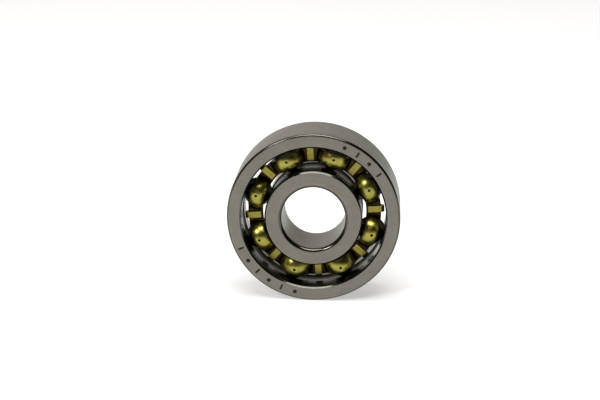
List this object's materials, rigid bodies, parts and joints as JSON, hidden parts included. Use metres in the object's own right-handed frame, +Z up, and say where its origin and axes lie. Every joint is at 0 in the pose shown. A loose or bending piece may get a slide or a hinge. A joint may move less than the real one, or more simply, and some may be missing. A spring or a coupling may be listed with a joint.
{
  "type": "ball bearing",
  "caption": "Open deep-groove ball bearing: two ground steel rings, a row of polished balls and a pressed brass cage closed with folded tabs.",
  "frame": {"origin": "centre of the bore, halfway across the width", "axes": "+Y along the bearing's axis towards its rear face, +Z up; the front face looks along -Y"},
  "size_m": [0.019, 0.006, 0.019],
  "materials": {
    "ring_steel": "fine ground",
    "ball_steel": "polished",
    "cage_brass": "pressed, tumbled bright"
  },
  "bodies": {
    "outer_ring": {"outer_ring": "ring_steel"},
    "inner_ring": {"inner_ring": "ring_steel"},
    "cage": {"cage_front_half": "cage_brass", "cage_rear_half": "cage_brass"},
    "ball_1": {"ball_1": "ball_steel"},
    "ball_2": {"ball_2": "ball_steel"},
    "ball_3": {"ball_3": "ball_steel"},
    "ball_4": {"ball_4": "ball_steel"},
    "ball_5": {"ball_5": "ball_steel"},
    "ball_6": {"ball_6": "ball_steel"},
    "ball_7": {"ball_7": "ball_steel"},
    "ball_8": {"ball_8": "ball_steel"}
  },
  "joints": [
    {"name": "inner_ring_spin", "type": "hinge", "parent": "outer_ring", "child": "inner_ring", "pos_m": [0, 0, 0], "axis": [0, 1, 0], "continuous": true},
    {"name": "cage_spin", "type": "hinge", "parent": "outer_ring", "child": "cage", "pos_m": [0, 0, 0], "axis": [0, 1, 0], "continuous": true},
    {"name": "ball_1_spin", "type": "hinge", "parent": "cage", "child": "ball_1", "pos_m": [0.00594, 0, 0.00299], "axis": [0, 1, 0], "continuous": true},
    {"name": "ball_2_spin", "type": "hinge", "parent": "cage", "child": "ball_2", "pos_m": [0.00209, 0, 0.00631], "axis": [0, 1, 0], "continuous": true},
    {"name": "ball_3_spin", "type": "hinge", "parent": "cage", "child": "ball_3", "pos_m": [-0.00299, 0, 0.00594], "axis": [0, 1, 0], "continuous": true},
    {"name": "ball_4_spin", "type": "hinge", "parent": "cage", "child": "ball_4", "pos_m": [-0.00631, 0, 0.00209], "axis": [0, 1, 0], "continuous": true},
    {"name": "ball_5_spin", "type": "hinge", "parent": "cage", "child": "ball_5", "pos_m": [-0.00594, 0, -0.00299], "axis": [0, 1, 0], "continuous": true},
    {"name": "ball_6_spin", "type": "hinge", "parent": "cage", "child": "ball_6", "pos_m": [-0.00209, 0, -0.00631], "axis": [0, 1, 0], "continuous": true},
    {"name": "ball_7_spin", "type": "hinge", "parent": "cage", "child": "ball_7", "pos_m": [0.00299, 0, -0.00594], "axis": [0, 1, 0], "continuous": true},
    {"name": "ball_8_spin", "type": "hinge", "parent": "cage", "child": "ball_8", "pos_m": [0.00631, 0, -0.00209], "axis": [0, 1, 0], "continuous": true}
  ],
  "couplings": [
    {"joint": "cage_spin", "follows": "inner_ring_spin", "ratio": 0.38064},
    {"joint": "ball_1_spin", "follows": "inner_ring_spin", "ratio": -1.9751},
    {"joint": "ball_2_spin", "follows": "inner_ring_spin", "ratio": -1.9751},
    {"joint": "ball_3_spin", "follows": "inner_ring_spin", "ratio": -1.9751},
    {"joint": "ball_4_spin", "follows": "inner_ring_spin", "ratio": -1.9751},
    {"joint": "ball_5_spin", "follows": "inner_ring_spin", "ratio": -1.9751},
    {"joint": "ball_6_spin", "follows": "inner_ring_spin", "ratio": -1.9751},
    {"joint": "ball_7_spin", "follows": "inner_ring_spin", "ratio": -1.9751},
    {"joint": "ball_8_spin", "follows": "inner_ring_spin", "ratio": -1.9751}
  ]
}
